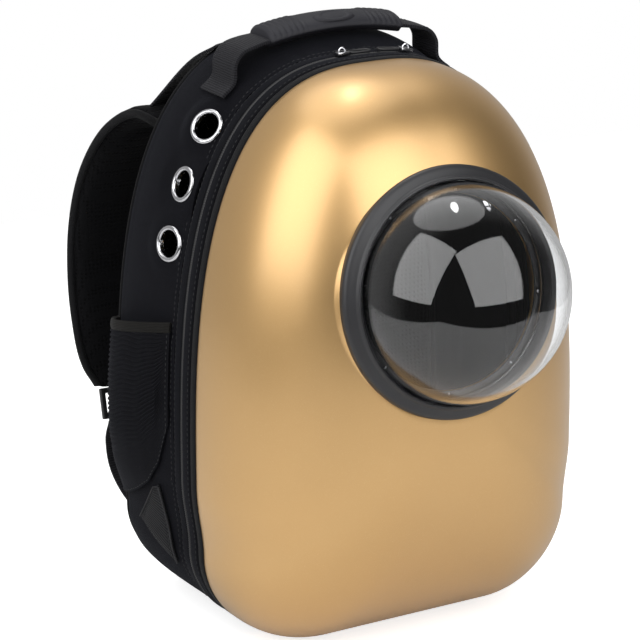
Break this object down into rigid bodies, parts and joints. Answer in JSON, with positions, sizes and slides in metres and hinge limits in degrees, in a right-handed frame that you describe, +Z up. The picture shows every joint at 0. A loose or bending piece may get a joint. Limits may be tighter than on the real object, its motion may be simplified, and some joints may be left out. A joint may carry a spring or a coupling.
{
  "type": "bubble pet carrier backpack",
  "caption": "Hard-shell pet carrier backpack with a clear bubble window, cloth gusset with vents, side pockets, padded straps and a top handle.",
  "frame": {"origin": "middle of the cloth base that the bag stands on", "axes": "+X across the bag to the right seen from the bubble side, -Y out of the bubble side, +Z up"},
  "size_m": [0.3354, 0.4098, 0.4488],
  "materials": {
    "gold_shell": "moulded plastic with a champagne gold metallic lacquer",
    "black_plastic": "satin black",
    "clear_plastic": "clear acrylic",
    "black_cloth": "plain black nylon cloth",
    "mesh_cloth": "black spacer mesh",
    "webbing": "black woven webbing",
    "grip_rubber": "ribbed soft black rubber",
    "chrome": "bright plated metal"
  },
  "bodies": {
    "root": {"front_shell": "gold_shell", "window_ring": "black_plastic", "bubble_dome": "clear_plastic", "window_liner": "black_plastic", "liner_screw_1": "chrome", "liner_screw_2": "chrome", "liner_screw_3": "chrome", "liner_screw_4": "chrome", "liner_screw_5": "chrome", "liner_screw_6": "chrome", "liner_screw_7": "chrome", "liner_screw_8": "chrome", "edge_binding": "black_cloth", "zipper_tape": "webbing", "zipper_chain": "black_plastic", "zipper_slider_left": "chrome", "zipper_slider_right": "chrome", "slider_pull_left": "black_plastic", "slider_pull_right": "black_plastic", "gusset": "black_cloth", "vent_grommet_left_1": "chrome", "vent_grommet_left_2": "chrome", "vent_grommet_left_3": "chrome", "vent_grommet_right_1": "chrome", "vent_grommet_right_2": "chrome", "vent_grommet_right_3": "chrome", "back_panel": "mesh_cloth", "handle_grip": "grip_rubber", "handle_medallion": "grip_rubber", "handle_web_left": "webbing", "handle_web_right": "webbing", "side_pocket_left": "mesh_cloth", "side_pocket_right": "mesh_cloth", "pocket_elastic_left": "webbing", "pocket_elastic_right": "webbing", "corner_tab_left": "webbing", "corner_tab_right": "webbing", "shoulder_strap_left": "mesh_cloth", "shoulder_strap_right": "mesh_cloth", "load_lifter_left": "webbing", "load_lifter_right": "webbing", "strap_buckle_left": "black_plastic", "strap_buckle_right": "black_plastic", "strap_webbing_left": "webbing", "strap_webbing_right": "webbing"}
  },
  "joints": []
}
